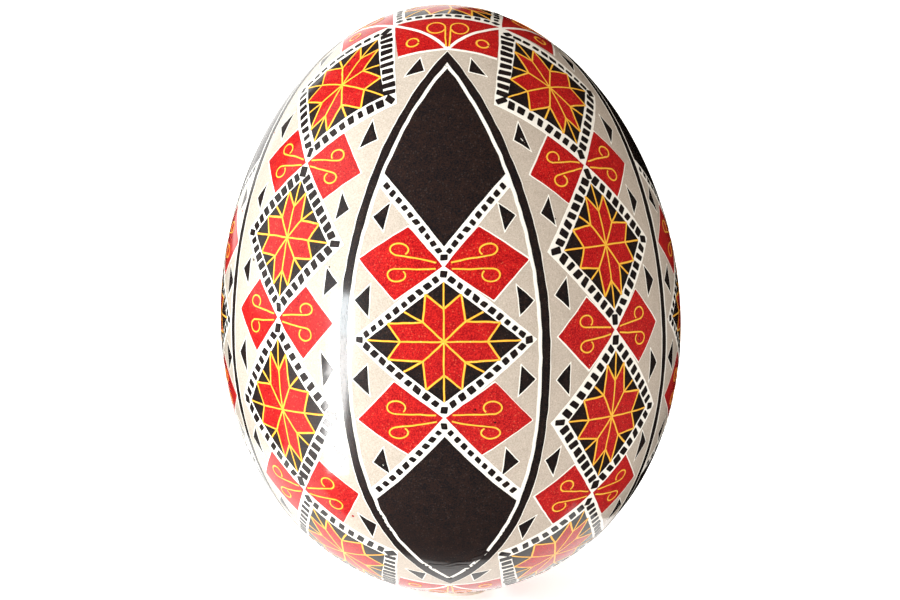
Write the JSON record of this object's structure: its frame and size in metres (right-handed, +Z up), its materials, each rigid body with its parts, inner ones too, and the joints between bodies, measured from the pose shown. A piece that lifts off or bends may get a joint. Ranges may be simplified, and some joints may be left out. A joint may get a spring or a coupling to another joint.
{
  "type": "decorated egg",
  "caption": "Blown hen's egg, dyed in red and black star, diamond and ram's-horn figures on a pale ground under gloss varnish, with a wax-stopped blow hole.",
  "frame": {"origin": "middle of the wax plug's flat face, under the blunt pole", "axes": "+Z up along the egg's long axis to its narrow tip; +X and +Y point to the middles of two of the four lens-shaped panels"},
  "size_m": [0.0446, 0.0446, 0.0578],
  "materials": {
    "varnish": "clear gloss varnish",
    "dyed_shell": "calcite shell stained with dyes",
    "membrane": "dry fibrous shell membrane",
    "beeswax": "pressed beeswax"
  },
  "bodies": {
    "root": {"varnish_coat": "varnish", "eggshell": "dyed_shell", "outer_membrane": "membrane", "inner_membrane": "membrane", "wax_plug": "beeswax"}
  },
  "joints": []
}
